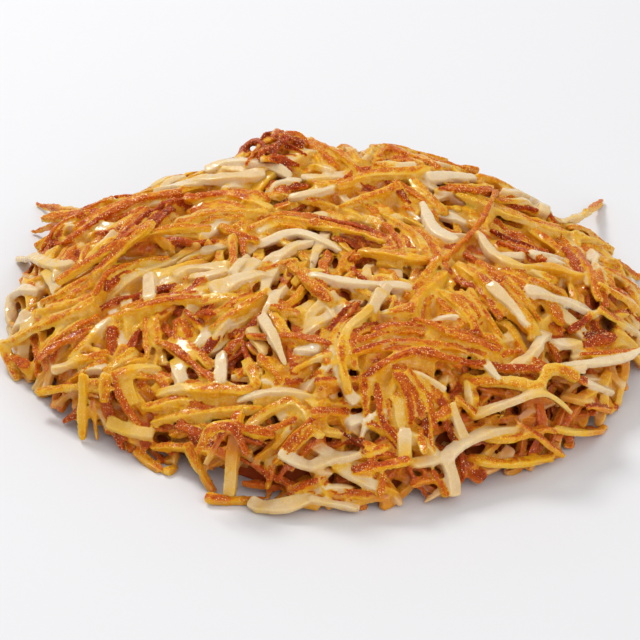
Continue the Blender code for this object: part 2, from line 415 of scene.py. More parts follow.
def loose_path(draw):
    """The path of a strand where the heap is lowest."""
    middle = heap_top.lowest_place(draw, PLACE_TRIES)
    outward = middle - CENTRE_OF_FLOW
    if outward[1] > 0:
        outward[1] *= BACK_FLATTENING
    heading = math.atan2(outward[1], outward[0]) + HEADING_SWIRL * shared_swirl(middle)
    heading = heading + draw.normal(0, HEADING_SPREAD)
    near_rim = np.clip((rim_share(*middle) - ALONG_RIM_FROM) / ALONG_RIM_OVER, 0, 1)
    if draw.random() < ALONG_RIM_SHARE * near_rim:
        heading = math.atan2(middle[1], middle[0]) + math.pi / 2 + draw.normal(0, HEADING_SPREAD)
    half = np.array([math.cos(heading), math.sin(heading)]) * draw.uniform(*UNDER_LENGTH) / 2
    side = np.array([-half[1], half[0]])
    for tip in (middle + half, middle - half):
        middle = middle - max(0, past_rim(*tip, UNDER_WITHIN)) * tip / np.hypot(*tip)
    bow, hook = draw.normal(0, BOW), draw.normal(0, HOOK)
    early = middle - half / 3 + side * (bow + hook)
    late = middle + half / 3 + side * (bow - hook)
    return smooth_curve([middle - half, early, late, middle + half])


def kind_near(point, draw):
    """The kind for a strand here. Neighbours fried side by side, so they tend to be alike."""
    if draw.random() < UNDER_PALE:
        return "pale"
    score = draw.random() + BROWNER_SWIRL * shared_swirl(1.9 * point[::-1])
    # Towards the front the kinds turn browner, partly own browning and partly painted shade, and in hollows
    # browner still, as painted shade.
    score = score + FRONT_BROWNING_AND_SHADE * np.clip(-point[1] / FRONT_DISTANCE, 0, 1)
    score = score + PAINTED_HOLLOW_SHADE * hollow_depth(point)
    return next((kind for kind, limit in UNDER_KINDS if score < limit), "dark")


for _ in range(UNDER_TRIES):
    path = loose_path(draw)
    kind = kind_near(path[len(path) // 2], draw)
    height, _ = rest_on_heap(path, KINDS[kind], USUAL_SINK)
    wanted = np.maximum(heap_height(*path.T) - hollow_depth(path), LOWEST_TOP)
    proud = height + KINDS[kind].thickness / 2 - wanted + ROOM_ON_TOP
    if proud.max() < MOST_PROUD and proud.mean() < 0:
        lay(kind, path, draw)
print(sum(map(len, strands.values())), "strands lie underneath")

# %% [markdown]
# ## The strands on top
# These are the ones that the eye follows, so each is read from the photograph: where it starts, bends and
# ends, in pixels. The line of sight gives its place on the heap. A strand that lies higher or lower than
# first guessed would shift in the picture, so its path is found again twice, from the height found before.
# Shreds that left the grater side by side fried in one sheaf, so most of these strands get companions,
# which are all laid first, so that none hides a traced strand.

# %% Strands at the back
KIND_OF_LETTER = {kind[0]: kind for kind in KINDS}


def traced(table):
    """A table's strands: a kind's first letter, and the pixels where it starts, bends and ends."""
    return [
        (KIND_OF_LETTER[letter], [tuple(map(int, pixel.split(","))) for pixel in pixels])
        for letter, *pixels in map(str.split, filter(None, table.splitlines()))
    ]


BACK = traced("""
g 114,169 147,171 175,160
g 217,156 225,135
d 240,158 246,140 262,131
d 246,132 258,140 268,152
d 262,136 272,128 284,133
c 272,141 281,121
c 281,139 296,132 306,142
c 300,128 318,131 330,140
p 206,171 227,161 263,163 290,172
b 156,187 200,180 232,176
p 200,180 235,177 264,174
p 152,182 168,171 181,160
b 60,196 88,183 112,178
p 88,184 118,177 147,176
d 258,158 274,146 292,148 306,156
d 262,163 278,158 298,163
d 272,152 288,141 303,146
c 246,163 258,150
g 290,198 328,188
g 185,200 227,194 271,207
g 179,226 210,213 267,211
p 290,199 312,194 334,188
g 248,228 280,217 328,226
b 52,216 80,207 112,199
g 36,240 66,224 98,209
c 32,231 69,215 112,199
c 37,203 76,196 112,186
c 42,210 74,204 104,193
c 40,249 58,228 88,212
c 65,238 101,217 135,200 181,192
g 57,262 66,244
p 202,250 223,245
g 101,264 126,244 150,229
d 101,257 135,232 164,211
d 118,238 147,215 175,200
d 135,247 155,225 173,206
p 21,257 42,263 72,267
p 13,295 38,290
g 42,299 66,288 98,270
g 50,308 80,290 112,272
c 57,279 101,256 156,236 210,235
c 93,272 126,255 152,250
c 95,292 109,271 135,260 168,257
c 221,230 257,238
g 232,240 234,268
p 175,275 190,267 227,264
p 191,277 227,271
p 149,275 149,298
p 248,253 232,274
b 213,291 242,278 274,270
p 259,239 295,230 330,243 345,248

g 310,131 333,148 360,171
g 333,136 344,134 358,163
g 375,165 415,168
c 365,158 384,139 447,146
c 390,145 440,167
c 411,146 476,165
c 445,147 478,169
g 337,188 373,174 428,172
g 340,205 370,195 400,185
p 436,190 453,194
p 428,177 453,175 474,180
c 396,176 428,205 438,217
p 504,192 529,188 539,173
g 478,173 516,183
g 491,182 493,194
p 544,196 544,214
d 440,185 493,195
c 495,200 529,200
c 457,195 500,211 548,228 571,232
c 563,221 582,209 601,200
c 569,228 607,222
g 573,238 611,238
d 491,229 552,253
d 498,240 545,262
p 422,207 434,228 456,239
c 310,224 352,230 386,241
c 384,222 398,240 409,264
g 380,210 415,235 432,262
g 360,250 400,256 440,262
p 310,274 352,283 390,285 410,287
p 388,288 373,309
c 573,245 590,274 598,300
c 590,251 600,278 605,305
c 605,270 640,289
c 600,290 640,312
c 610,258 640,276
""")
print(len(BACK), "strands at the back")

# %% Strands in the middle and in front
NEAR = traced("""
g 38,311 90,301
g 38,357 69,317
g 69,359 95,332 109,317
p 15,330 28,312
g 2,347 42,324 93,303
c 42,366 59,336 97,309
c 40,381 63,349 88,325
g 2,351 17,377
c 13,357 27,351
g 198,300 236,294
c 116,317 156,303 200,297
c 145,315 147,355
g 177,313 175,336
c 185,311 202,328
g 210,319 240,306 269,290
c 53,384 84,359 107,349
c 105,374 135,346
g 101,380 135,367 160,364
p 175,362 183,382
c 158,340 181,353 213,381
p 221,355 221,384
c 248,336 295,336 330,346
g 246,357 257,386
c 259,357 282,381
p 262,316 276,343 285,365
c 290,266 308,282 331,299
c 271,306 299,312
p 297,351 318,351
g 288,370 330,353
d 63,384 112,393
c 38,398 80,391 114,397
g 80,409 106,417
c 84,414 82,434
c 107,409 105,436
c 112,381 126,408 138,426
g 135,433 160,469
g 175,446 166,472
d 179,425 227,450
g 152,420 189,413 263,408
g 143,408 168,401 200,395
g 158,393 189,388 257,387
c 152,425 189,435 227,457
p 109,436 152,425
p 238,399 274,391 314,393

g 457,262 491,285 529,320 541,346
c 478,262 510,285 540,318
g 478,274 510,310 531,330
c 508,262 548,300 563,323
g 470,290 490,320 508,345
g 445,272 418,297 411,314
g 440,290 465,310 480,335
p 490,285 515,310 530,335
p 430,317 457,316
c 438,258 415,290
g 531,280 566,294
t 497,193 478,226 457,247 444,259
p 531,257 563,255
p 491,249 523,257
p 478,240 495,259 520,268 552,268 584,279
p 527,289 563,299 597,311
d 569,332 598,315
d 582,343 615,338
c 600,311 640,332
c 582,351 640,357
p 550,343 579,341
p 508,370 531,357 546,336

g 232,452 253,420 286,398 305,408 322,436
c 250,443 295,417
c 274,459 311,428
c 282,471 318,445
c 312,421 348,408
c 316,388 337,374
d 223,469 261,458
c 186,462 214,481
g 240,456 228,484
d 206,468 246,479
g 206,481 234,483 262,481
c 198,476 225,470 274,468
b 250,482 282,490 315,488
p 280,478 330,459
p 310,498 358,497
p 335,471 377,486
p 310,466 333,457 358,459
d 342,437 363,446
p 361,434 369,419 384,412
c 384,475 379,495
p 405,429 405,473
c 354,470 409,460
c 432,471 447,495
p 413,470 445,459
g 470,452 510,459 552,457
p 516,427 478,435 449,454 453,473 455,489
c 516,429 542,446 563,457

p 558,375 613,384
p 554,365 600,368 640,374
c 533,372 586,391
d 457,364 499,374 584,389
p 556,402 605,421
c 588,404 609,411
g 462,378 512,393 537,404 550,393 577,399
p 472,415 520,414 571,415
p 483,363 499,379
c 384,349 428,353 462,366
c 363,372 411,358 459,374
c 354,353 398,341 445,347 483,357
c 373,329 407,325 445,331 499,352
c 415,319 457,336 496,348
c 382,314 413,307
c 339,346 350,325 369,312
p 333,347 342,378 356,408
p 382,291 371,311
g 371,311 346,332 342,359 348,390
p 415,373 445,389
c 377,380 382,415 397,436
g 388,375 398,400 400,425
c 394,372 407,395 411,418
c 409,370 428,399 434,427
c 455,380 445,404 436,415
c 419,416 424,457
p 466,387 470,402
c 457,397 474,414
p 453,408 464,437
""")
print(len(NEAR), "strands in the middle and in front")


# %% Lay them
COMPANIONS = {
    "pale": (("gold", 0.5), ("pale", 1.0)),
    "gold": (("gold", 0.5), ("crisp", 1.0)),
    "crisp": (("gold", 0.35), ("crisp", 0.85), ("dark", 1.0)),
    "dark": (("crisp", 0.6), ("dark", 1.0)),
}
COMPANION_SHARE = {"pale": 0.15, "broad": 0.0, "gold": 0.75, "crisp": 0.8, "dark": 0.6, "thin": 0.0}
COMPANION_STARTS, COMPANION_ENDS = (0, 0.35), (0.65, 1)
SPACING_AT_START, SPACING_AT_END = (2.2, 3.6), (2.2, 4.6)
FEWEST_POINTS = 7
CRISP_SINK, SOFT_SINK = 0.3, 0.5


def lay_beside(kind, path, draw):
    """Lays strands that came off the grater next to this one."""
    for way in (-1, 1):
        if draw.random() >= COMPANION_SHARE[kind]:
            continue
        chance = draw.random()
        beside = next(other for other, limit in COMPANIONS[kind] if chance < limit)
        count = len(path)
        first = int(draw.uniform(*COMPANION_STARTS) * count)
        last = max(first + FEWEST_POINTS, int(draw.uniform(*COMPANION_ENDS) * count))
        part = path[first:last]
        if len(part) < FEWEST_POINTS:
            continue
        spacing = np.linspace(draw.uniform(*SPACING_AT_START), draw.uniform(*SPACING_AT_END), len(part))
        moved = part + way * spacing[:, None] * side_of(part)
        height, _ = rest_on_heap(moved, KINDS[beside], SOFT_SINK)
        proud = height - heap_height(*moved.T)
        if past_rim(*moved.T).max() < 0 and proud.max() < MOST_PROUD:
            lay(beside, moved, draw, SOFT_SINK)


def lie_of(kind):
    """How far a traced strand of this kind sinks in, and whether its tips are free."""
    crisp = KINDS[kind].crust > 0.5
    return (CRISP_SINK if crisp else SOFT_SINK), crisp


def path_as_seen(kind, pixels):
    """The plan path on which a strand of this kind shows along these pixels."""
    picture_path = smooth_curve(pixels, STEP_ALONG / PIXEL * 0.8)
    along = distance_along(picture_path)
    guessed = [0, len(along) // 2, -1]
    heights = np.interp(along, along[guessed], [first_height(picture_path[place]) for place in guessed])
    for _ in range(2):
        found, _ = rest_on_heap(seen_at(picture_path, heights), KINDS[kind], *lie_of(kind))
        heights = eased((heights + found) / 2, 2)
    return smooth_curve(seen_at(picture_path, heights))


for kind, pixels in BACK + NEAR:
    lay_beside(kind, path_as_seen(kind, pixels), draw)
for kind, pixels in BACK + NEAR:
    lay(kind, path_as_seen(kind, pixels), draw, *lie_of(kind))
print({kind: len(laid) for kind, laid in strands.items()})

# %% [markdown]
# ## A strand's skin
# A shredder cuts strands with four flat faces and soft corners. One outline with twelve points, swept along
# the middle line, gives that. Points crowd at the corners, since that is where light catches. Frying
# shrinks the faces between the corners, so they sink, and ends are cut square or run out to a point.

# %% The outline of a strand
AROUND = 12
angles = np.arange(AROUND) * 2 * np.pi / AROUND
CORNER = 0.22
across, upwards = (np.sign(wave) * np.abs(wave) ** CORNER for wave in (np.cos(angles), np.sin(angles)))
near_corner = np.minimum(np.abs(across), np.abs(upwards))
face_middle = 1 - near_corner / near_corner.max()
low_on_side = np.clip(-upwards, 0, 1)


def wander(draw, count, spacing):
    """Smooth random ups and downs, about one for each spacing."""
    knots = draw.normal(0, 1, max(3, int(count / spacing) + 2))
    return np.interp(np.linspace(0, len(knots) - 1, count), np.arange(len(knots)), knots)


def end_profile(draw, count):
    """How wide a strand is along its length: an end is square, or pointed."""
    from_end = np.arange(count) * STEP_ALONG
    profile = np.ones(count)
    for distance in (from_end, from_end[::-1]):
        taper = draw.uniform(6, 16) if draw.random() < 0.25 else draw.uniform(0.8, 2.5)
        smallest = draw.uniform(0.35, 0.6) if taper > 3 else draw.uniform(0.75, 0.95)
        profile *= smallest + (1 - smallest) * np.clip(distance / taper, 0, 1) ** 0.7
    return profile


# %% Envelope of the heap
GAP_REACH, ENVELOPE_REACH, ENVELOPE_RISE = 3, 4, 1.0


def over_neighbours(values, how, reach):
    """The highest, lowest or mean value within this many cells, over both axes."""
    for axis in (0, 1):
        values = how([np.roll(values, step, axis) for step in range(-reach, reach + 1)], axis=0)
    return values


def without_gaps(values, reach):
    """The values with gaps closed that are narrower than twice this many cells."""
    return over_neighbours(over_neighbours(values, np.max, reach), np.min, reach)


# The smooth surface that the topmost strands reach, which lay on the hot griddle.
pressed = over_neighbours(without_gaps(heap_top.height, GAP_REACH), np.mean, ENVELOPE_REACH) + ENVELOPE_RISE
print("the griddle face is up to", round(float(pressed.max()), 1), "mm high")
TOUCH_DEPTH = 4.5
HORIZON_WAYS = 10
HORIZON_STEPS = (1.6, 2.6, 4.0, 6.5, 10.0)
SHUT_IN = (0.4, 0.85)


def deep_in(points):
    """0 where most of the sky is in view, and 1 deep in a gap."""
    hidden = np.zeros(len(points))
    for angle in np.arange(HORIZON_WAYS) * 2 * np.pi / HORIZON_WAYS:
        horizon = np.zeros(len(points))
        for step in HORIZON_STEPS:
            seen = points[:, :2] + step * np.array([math.cos(angle), math.sin(angle)])
            rise = heap_top.under(seen) - points[:, 2]
            horizon = np.maximum(horizon, rise / np.hypot(rise, step))
        hidden += horizon / HORIZON_WAYS
    return np.clip((hidden - SHUT_IN[0]) / (SHUT_IN[1] - SHUT_IN[0]), 0, 1)


# %% Sweep the outline along every strand
LEAST_SWELL, MOST_SWELL = 0.6, 1.5
CAP_SIZE, CAP_LENGTH = 0.55, 0.45
LOWEST_POINT = 0.05
# How many strands have an end fried to another degree, and to which.
ODD_ENDS, USUAL_ODD_END = {"pale": (0.36, 0.28)}, (0.12, 0.14)


def skin(strand, kind, draw):
    """A strand's points, ring by ring, with how fried and how crusted each is."""
    middle, lean, shape = strand
    count = len(middle)
    profile = end_profile(draw, count)
    uneven = 0.08 + 0.12 * shape.crust
    half_width, half_thickness = (
        size / 2 * profile**power * np.clip(1 + uneven * wander(draw, count, 4), LEAST_SWELL, MOST_SWELL)
        for size, power in ((shape.width, 1), (shape.thickness, 0.6))
    )
    run = unit(np.gradient(middle, axis=0))
    side = np.column_stack([side_of(middle), np.zeros(count)])
    roll = np.arctan(lean) + 0.1 * wander(draw, count, 14)
    above = np.cross(run, side)
    side, above = (
        side * np.cos(roll)[:, None] + above * np.sin(roll)[:, None],
        above * np.cos(roll)[:, None] - side * np.sin(roll)[:, None],
    )
    shrink = 1 - shape.hollow * face_middle * (0.7 + 0.5 * draw.random((count, 1)))
    rough = draw.normal(0, shape.ragged, (count, AROUND))
    rough = rough + 0.6 * np.roll(rough, 1, axis=0)
    spread_out = 1 + shape.foot * draw.uniform(0.3, 1.2) * low_on_side
    sunk_down = shape.foot * draw.uniform(0.8, 1.6) * low_on_side
    out = shrink[:, :, None] * (
        half_width[:, None, None] * (across * spread_out)[:, None] * side[:, None]
        + half_thickness[:, None, None] * (upwards - sunk_down)[:, None] * above[:, None]
    )
    outward = unit(out)
    rings = middle[:, None] + out + rough[:, :, None] * outward
    first, last = (
        middle[end] + CAP_SIZE * (rings[end] - middle[end]) + way * run[end] * CAP_LENGTH
        for end, way in ((0, -1), (-1, 1))
    )
    rings = np.concatenate([[first], rings, [last]])
    rings[..., 2] = np.maximum(rings[..., 2], LOWEST_POINT)
    outward = np.concatenate([outward[:1], outward, outward[-1:]])
    griddle_side = np.array([draw.normal(0, 0.4), draw.normal(-0.1, 0.4), 1.0])
    facing = outward @ unit(griddle_side)
    depth = pressed[heap_top.cells(rings[..., :2])] - rings[..., 2]
    touched = np.clip(1.25 - depth / TOUCH_DEPTH, 0, 1)
    crust = shape.crust * np.clip((facing - 0.05 + shape.wrap) / 0.5, 0, 1) * (0.45 + 0.55 * touched)
    crust = crust + 0.12 * wander(draw, len(rings), 7)[:, None] * shape.crust
    place = np.linspace(0, 1, len(rings))
    along_fry = 0.04 * wander(draw, len(rings), 6)
    share, other = ODD_ENDS.get(kind, USUAL_ODD_END)
    if draw.random() < share:
        place = place[::-1] if draw.random() < 0.5 else place
        ramp = np.clip((place - draw.uniform(0.3, 0.7)) / 0.3, 0, 1)
        along_fry = along_fry + ramp * (other - shape.fry)
        crust = crust * (1 - 0.8 * ramp[:, None])
    fried = np.broadcast_to((shape.fry + 0.05 * draw.normal() + along_fry)[:, None], crust.shape)
    return rings, fried, crust


def modify(piece, kind, **settings):
    modifier = piece.modifiers.new(kind.lower(), kind)
    for name, value in settings.items():
        setattr(modifier, name, value)


def new_piece(name, points, faces, **levels):
    """An object with this mesh, in millimetres, and a value at each point for each level."""
    mesh = bpy.data.meshes.new(name)
    mesh.from_pydata(np.asarray(points) * MM, [], faces)
    for level, values in levels.items():
        layer = mesh.attributes.new(level, "FLOAT", "POINT")
        layer.data.foreach_set("value", np.asarray(values, np.float32))
    mesh.shade_smooth()
    return new_object(name, mesh)


def cells_of(grid):
    """The values at the four corners of each cell of a grid."""
    return np.stack([grid[:-1, :-1], grid[1:, :-1], grid[1:, 1:], grid[:-1, 1:]], axis=-1)


def faces_between(rings, around):
    """The faces that join closed rings of points, each ring to the next."""
    numbers = np.arange(rings * around).reshape(rings, around)
    return cells_of(np.column_stack([numbers, numbers[:, 0]])).reshape(-1, 4)


def sweep(kind, strand, draw):
    """A strand as points, faces, and how fried and how crusted each point is."""
    rings, fried, crust = skin(strand, kind, draw)
    sides = faces_between(len(rings), AROUND)[:, [0, 3, 2, 1]]
    step = np.arange(AROUND // 2 - 1)
    cap = np.stack([AROUND - 1 - step, AROUND - 2 - step, step + 1, step], axis=-1)
    far_cap = cap[:, ::-1] + (len(rings) - 1) * AROUND
    return rings.reshape(-1, 3), np.concatenate([sides, cap, far_cap]), fried.ravel(), crust.ravel()


def joined(meshes):
    """Several meshes of this kind as one."""
    points, _, fried, crust = (np.concatenate(parts) for parts in zip(*meshes))
    starts = np.cumsum([0] + [len(mesh[0]) for mesh in meshes])
    return points, np.concatenate([mesh[1] + start for mesh, start in zip(meshes, starts)]), fried, crust


skin_draw = np.random.default_rng(SEED + 1)
swept = [sweep(kind, strand, skin_draw) for kind, laid in strands.items() for strand in laid]
print(len(swept), "strands, of", sum(len(mesh[1]) for mesh in swept), "faces")

# %% [markdown]
# ## Golden sheets
# Starch cooks out of the strands and glues them into golden sheets, with the browned strands standing out
# as ridges. A sheet follows the map of heights: gaps up to a few millimetres wide are closed, the result is
# smoothed, and it is lowered, so that only the ridges come through. At its edges it dives into the heap.

# %% Sheets between the strands
SHEETS = (
    # pixel of the middle, and radius in millimetres
    ((95, 262), 20), ((75, 300), 14), ((150, 215), 16), ((235, 205), 18), ((300, 215), 14),
    ((345, 165), 14), ((390, 200), 14), ((470, 290), 22), ((420, 335), 18), ((520, 330), 14),
    ((215, 395), 14), ((300, 300), 10), ((400, 380), 12), ((520, 220), 12), ((590, 270), 12),
    ((310, 255), 12), ((160, 330), 9), ((500, 390), 11), ((240, 470), 9), ((260, 290), 12),
    ((130, 300), 12), ((430, 235), 12), ((270, 385), 12), ((330, 420), 10), ((450, 430), 10),
)
SHEET_CLOSING, SHEET_SMOOTHING = 2, 1
SHEET_DEPTH, SHEET_DIVE = 0.8, 6.0
SHEET_THICKNESS = 2.0
LEAST_SHARE, LEAST_LEVEL, MOST_SLOPE = 0.2, 8, 1.0
SHEET_FRY, SHEET_CRUST = 0.30, 0.15


def sheet_mesh():
    """The sheets as one closed mesh."""
    x, y, top = heap_top.x, heap_top.y, heap_top.height
    level = over_neighbours((without_gaps(top, SHEET_CLOSING) + top) / 2, np.mean, SHEET_SMOOTHING)
    waves = np.sin(x * 0.31 + 2 * np.sin(y * 0.17)) * np.sin(y * 0.37 + x * 0.11)
    share = np.zeros_like(top)
    for pixel, radius in SHEETS:
        middle = seen_at([pixel], [first_height(pixel)])[0]
        from_middle = (x - middle[0]) ** 2 + (y - middle[1]) ** 2
        share = np.maximum(share, np.exp(-(from_middle / radius**2)))
    share = share + 0.3 * waves - 0.12 * hollow_depth(np.stack([x, y], axis=-1))
    steep = np.hypot(*np.gradient(over_neighbours(level, np.mean, 3), CELL))
    covered = (share > LEAST_SHARE) & (level > LEAST_LEVEL) & (steep < MOST_SLOPE)
    height = level - SHEET_DEPTH - SHEET_DIVE * np.clip(1 - (share - LEAST_SHARE) / 0.4, 0, 1) ** 2
    numbers = np.cumsum(covered.ravel()).reshape(covered.shape) - 1
    faces = cells_of(numbers)[cells_of(covered).all(axis=-1)]
    piece = new_piece("sheets", np.stack([x, y, height], axis=-1)[covered], faces.tolist())
    modify(piece, "SOLIDIFY", thickness=SHEET_THICKNESS * MM, offset=-1)
    points, faces = evaluated(piece)
    fried = SHEET_FRY + 0.09 * np.sin(points[:, 0] * 0.21 + 1) * np.sin(points[:, 1] * 0.26)
    return points, faces, fried, np.full(len(points), SHEET_CRUST)


def evaluated(piece):
    """The quads or triangles that a piece's modifiers make. The piece goes."""
    mesh = bpy.data.meshes.new_from_object(piece.evaluated_get(bpy.context.evaluated_depsgraph_get()))
    points = np.empty(3 * len(mesh.vertices), np.float32)
    mesh.vertices.foreach_get("co", points)
    if len(mesh.loops) == 4 * len(mesh.polygons):
        corners, sides = np.empty(len(mesh.loops), np.int32), 4
        mesh.loops.foreach_get("vertex_index", corners)
    else:
        mesh.calc_loop_triangles()
        corners, sides = np.empty(3 * len(mesh.loop_triangles), np.int32), 3
        mesh.loop_triangles.foreach_get("vertices", corners)
    bpy.data.objects.remove(piece)
    bpy.data.meshes.remove(mesh)
    return points.reshape(-1, 3) / MM, corners.reshape(-1, sides)


sheets = sheet_mesh()
print("the sheets have", 2 * len(sheets[1]), "triangles")

# %% [markdown]
# ## Fusing
# Strands that touch melt into each other: a crossing gets a soft fillet and a narrow gap closes. A Boolean
# would join them and leave every crease sharp. The Remesh modifier makes a volume of any number of
# overlapping meshes and skins it anew, and swelling everything before it and shrinking it after it closes
# the narrow gaps. The heap is fused in five sectors, to keep each mesh small, and what no gap shows is cut
# away. A remeshed point knows nothing of its strand, so it asks the nearest old surface how fried it is,
# and a fillet is golden without crust.

# %% Fuse the strands
SIDES = ("right", "back", "back_left", "front_left", "front")
SECTORS = len(SIDES)
VOXEL = 0.40
CLOSING = 0.18
SIGHT_REACH, SIGHT_DEPTH = 4, 1.0
MOST_FACES = 95_000
SMALLEST_PART = 400
FILLET = (0.12, 0.35)
FILLET_FRY = 0.30
# How much browner a point deep in a gap is made: painted shade.
PAINTED_GAP_SHADE_FRY = 0.12


def sector_of(points):
    """The sector of the heap that a point lies in."""
    turn = np.arctan2(points[..., 1], points[..., 0]) / (2 * np.pi) + 0.5 / SECTORS
    return np.floor(np.mod(turn, 1) * SECTORS).astype(int)


def with_only(faces, points, *levels):
    """A mesh of just these faces, without the points that none of them needs."""
    used, places = np.unique(faces, return_inverse=True)
    return points[used], places.reshape(faces.shape), *(values[used] for values in levels)


def part_of_sheets(sector):
    points, faces, fried, crust = sheets
    return with_only(faces[sector_of(points[faces].mean(axis=1)) == sector], points, fried, crust)


def without_hidden(points, faces):
    """The mesh without what lies deeper than any gap near it."""
    lowest_near = over_neighbours(heap_top.height, np.min, SIGHT_REACH)
    hidden = points[:, 2] < lowest_near[heap_top.cells(points[:, :2])] - SIGHT_DEPTH
    return with_only(faces[~hidden[faces].all(axis=1)], points)


def without_crumbs(points, faces):
    """The mesh without loose parts of only a few faces."""
    part = np.arange(len(points))
    while True:
        lowest = part.copy()
        np.minimum.at(lowest, faces, part[faces].min(axis=1, keepdims=True))
        lowest = lowest[lowest]
        if (lowest == part).all():
            break
        part = lowest
    of_face = part[faces[:, 0]]
    return with_only(faces[np.bincount(of_face)[of_face] >= SMALLEST_PART], points)


def without_twins(points, faces):
    """The mesh without faces back to back on the same corners. Thinning leaves a few."""
    _, place, copies = np.unique(np.sort(faces, axis=1), axis=0, return_inverse=True, return_counts=True)
    return with_only(faces[copies[place.ravel()] == 1], points)


def fuse(name, meshes):
    """One skin over all these meshes."""
    points, faces, fried, crust = joined(meshes)
    piece = new_piece(name, points, faces.tolist())
    modify(piece, "DISPLACE", mid_level=0, strength=CLOSING * MM)
    modify(piece, "REMESH", mode="VOXEL", voxel_size=VOXEL * MM)
    modify(piece, "DISPLACE", mid_level=0, strength=-CLOSING * MM)
    new_points, new_faces = without_crumbs(*without_hidden(*evaluated(piece)))
    piece = new_piece(name, new_points, new_faces.tolist())
    modify(piece, "DECIMATE", ratio=min(1, MOST_FACES / len(new_faces)))
    new_points, new_faces = without_twins(*evaluated(piece))
    old_surface = BVHTree.FromPolygons(points.tolist(), faces.tolist())
    found = [old_surface.find_nearest(point)[1:] for point in new_points.tolist()]
    face_found = faces[[face for _, face, _ in found]]
    away = np.linalg.norm(points[face_found] - new_points[:, None], axis=2)
    weight = 1 / (away + 0.05) ** 2
    weight /= weight.sum(axis=1, keepdims=True)
    from_surface = np.array([distance for _, _, distance in found])
    fillet = np.clip((from_surface - FILLET[0]) / (FILLET[1] - FILLET[0]), 0, 1)
    deep = deep_in(new_points)
    fried_and_gap_shaded = (weight * fried[face_found]).sum(axis=1)
    # Points deep in a gap get a browner degree, which is painted shade.
    fried_and_gap_shaded = fried_and_gap_shaded + fillet * (FILLET_FRY - fried_and_gap_shaded) + PAINTED_GAP_SHADE_FRY * deep
    new_crust = (weight * crust[face_found]).sum(axis=1) * (1 - fillet)
    print(name, "fuses", len(meshes), "meshes into", len(new_faces), "faces")
    return new_piece(name, new_points, new_faces.tolist(), fry=fried_and_gap_shaded, crust=new_crust, deep=deep)


pieces = {}
for sector, side in enumerate(SIDES):
    meshes = [mesh for mesh in swept if sector_of(mesh[0].mean(axis=0)) == sector]
    pieces[side] = fuse("strands_" + side, meshes + [part_of_sheets(sector)])

# %% [markdown]
# ## The middle of the heap
# Behind the last strands a closed lump stops light and sight. It is never seen as itself, only as warm
# darkness at the bottom of a gap, so its red-brown colour is painted shade.

# %% The core
CORE_RINGS, CORE_SPOKES = 26, 72
CORE_INSET = 0.985
CORE_RIM_HEIGHT = 0.6
spokes = np.arange(CORE_SPOKES)
angle = spokes * 2 * np.pi / CORE_SPOKES
share = np.arange(1, CORE_RINGS + 1)[:, None] / CORE_RINGS
away = share * reach_at(angle) * CORE_SHARE * CORE_INSET
x, y = away * np.cos(angle), away * np.sin(angle)
rings = np.stack([x, y, np.maximum(CORE_RIM_HEIGHT, core_height(x, y))], axis=-1)
points = np.concatenate([[(0, 0, core_height(0.0, 0.0))], rings.reshape(-1, 3), rings[-1] * (1, 1, 0)])
top = np.column_stack([0 * spokes, 1 + spokes, 1 + np.roll(spokes, -1)])
sides = 1 + faces_between(CORE_RINGS + 1, CORE_SPOKES)
bottom = 1 + CORE_RINGS * CORE_SPOKES + spokes[::-1]
pieces["core"] = new_piece("heap_core", points, top.tolist() + sides.tolist() + [bottom.tolist()])
print("the core has", len(points), "points")

# %% [markdown]
# ## Writing finishes as sums
# A finish is a network of nodes, but it reads more easily as arithmetic. This class wraps a socket, so that
# `1 - fry * 0.5` adds the Math nodes for it.


# %% Signals and finishes
class Signal:
    """A socket that can stand in a sum."""

    def __init__(self, finish, socket):
        self.finish, self.socket = finish, socket

    def _math(self, operation, *others):
        return self.finish.node("ShaderNodeMath", others, operation=operation)

    def __add__(self, other):
        return self._math("ADD", self, other)

    def __sub__(self, other):
        return self._math("SUBTRACT", self, other)

    def __mul__(self, other):
        return self._math("MULTIPLY", self, other)

    def __rsub__(self, other):
        return self._math("SUBTRACT", other, self)

    __radd__, __rmul__ = __add__, __mul__

    def between(self, low, high):
        """0 below low, 1 above high, and a smooth rise between."""
        inputs = {"Value": self, "From Min": low, "From Max": high}
        return self.finish.node("ShaderNodeMapRange", inputs, interpolation_type="SMOOTHSTEP")


class Finish:
    """A material that is built by calls to node()."""

    def __init__(self, name):
        self.material = bpy.data.materials.new(name)
        self.material.use_nodes = True
        self.tree = self.material.node_tree
        self.shader = self.tree.nodes["Principled BSDF"]

    def set(self, node, inputs):
        pairs = inputs.items() if isinstance(inputs, dict) else enumerate(inputs)
        for key, value in pairs:
            if isinstance(value, Signal):
                self.tree.links.new(value.socket, node.inputs[key])
            else:
                node.inputs[key].default_value = value

    def node(self, kind, inputs=(), output=0, **settings):
        """Adds a node: its settings first, then what its sockets hold or are linked to."""
        node = self.tree.nodes.new(kind)
        for name, value in settings.items():
            if name == "stops":
                ramp = node.color_ramp
                while len(ramp.elements) < len(value):
                    ramp.elements.new(0.5)
                for stop, (place, colour) in zip(ramp.elements, value):
                    stop.position, stop.color = place, colour
            else:
                setattr(node, name, value)
        self.set(node, inputs)
        return Signal(self, node.outputs[output])

    def attribute(self, name):
        return self.node("ShaderNodeAttribute", output="Fac", attribute_name=name)

    def pattern(self, kind, size, output=0, **inputs):
        """A texture with lumps of about this size in millimetres, over the object's own space."""
        place = self.node("ShaderNodeTexCoord", output="Object")
        return self.node(kind, {"Vector": place, "Scale": 1 / (size * MM), **inputs}, output)

    def noise(self, size, detail=2):
        return self.pattern("ShaderNodeTexNoise", size, Detail=detail)

    def mix(self, share, colour, other):
        return self.node("ShaderNodeMix", {0: share, 6: colour, 7: other}, output=2, data_type="RGBA")


def daylight(red, green, blue):
    """A colour given as it looks on a screen, 0 to 255, as the shader wants it."""
    def linear(value):
        value = value / 255
        return value / 12.92 if value <= 0.04045 else ((value + 0.055) / 1.055) ** 2.4
    return linear(red), linear(green), linear(blue), 1.0
